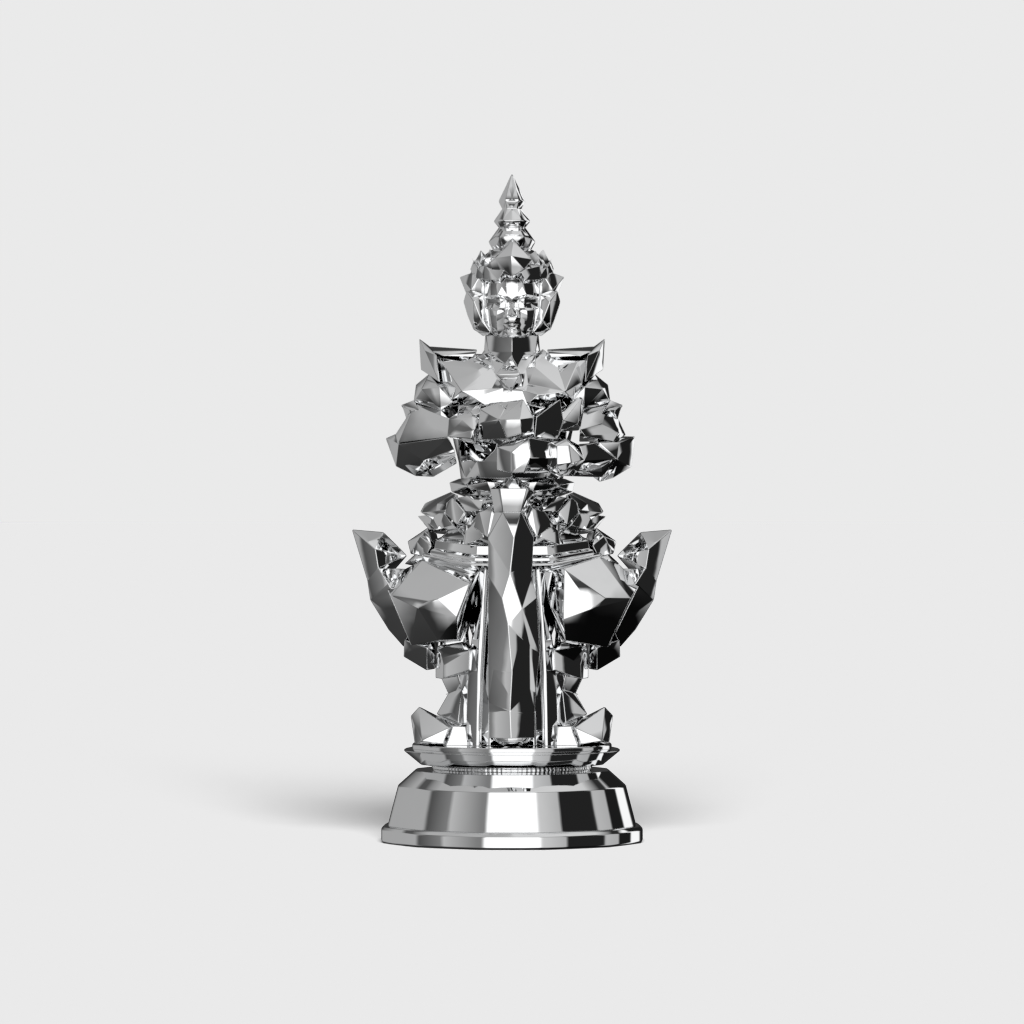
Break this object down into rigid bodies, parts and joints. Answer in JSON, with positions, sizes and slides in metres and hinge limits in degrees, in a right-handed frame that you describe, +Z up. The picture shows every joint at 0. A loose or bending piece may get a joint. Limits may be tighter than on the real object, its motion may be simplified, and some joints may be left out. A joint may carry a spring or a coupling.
{
  "type": "guardian statuette",
  "caption": "Chrome-plated faceted guardian figure with a tall crown, hands resting on a club, standing on a stepped twelve-sided base.",
  "frame": {"origin": "centre of the underside of the felt pad, where the statuette rests on a table", "axes": "+Z up to the tip of the finial, -Y is the way the figure faces, +X is the figure's own left"},
  "size_m": [0.1434, 0.1154, 0.3],
  "materials": {
    "chrome_plate": "mirror-polished bright chrome plate",
    "steel": "zinc-plated turned steel",
    "felt": "dense black felt"
  },
  "bodies": {
    "root": {"felt_pad": "felt", "foot_ring": "chrome_plate", "base_drum": "chrome_plate", "bead_ring": "chrome_plate", "base_neck": "chrome_plate", "plinth_rim": "chrome_plate", "top_plate": "chrome_plate", "clamp_disc": "steel", "clamp_washer": "steel", "clamp_nut": "steel", "tie_rod": "steel", "dowels": "steel", "right_shoe": "chrome_plate", "left_shoe": "chrome_plate", "right_greave": "chrome_plate", "left_greave": "chrome_plate", "right_knee_cuff": "chrome_plate", "left_knee_cuff": "chrome_plate", "right_calf_guard": "chrome_plate", "left_calf_guard": "chrome_plate", "right_thigh": "chrome_plate", "left_thigh": "chrome_plate", "right_hip_wing": "chrome_plate", "left_hip_wing": "chrome_plate", "loincloth": "chrome_plate", "skirt": "chrome_plate", "right_side_bow": "chrome_plate", "left_side_bow": "chrome_plate", "peplum": "chrome_plate", "belt": "chrome_plate", "club_ferrule": "chrome_plate", "club_shaft": "chrome_plate", "club_head": "chrome_plate", "torso": "chrome_plate", "pendant": "chrome_plate", "right_epaulette": "chrome_plate", "left_epaulette": "chrome_plate", "right_upper_arm": "chrome_plate", "left_upper_arm": "chrome_plate", "right_elbow_flame": "chrome_plate", "left_elbow_flame": "chrome_plate", "right_bracer": "chrome_plate", "left_bracer": "chrome_plate", "right_forearm": "chrome_plate", "left_forearm": "chrome_plate", "right_hand": "chrome_plate", "left_hand": "chrome_plate", "neck": "chrome_plate", "head": "chrome_plate", "right_ear_crest": "chrome_plate", "left_ear_crest": "chrome_plate", "crown_cap": "chrome_plate", "diadem": "chrome_plate", "crown_flames": "chrome_plate", "crown_tier": "chrome_plate", "finial": "chrome_plate"}
  },
  "joints": []
}
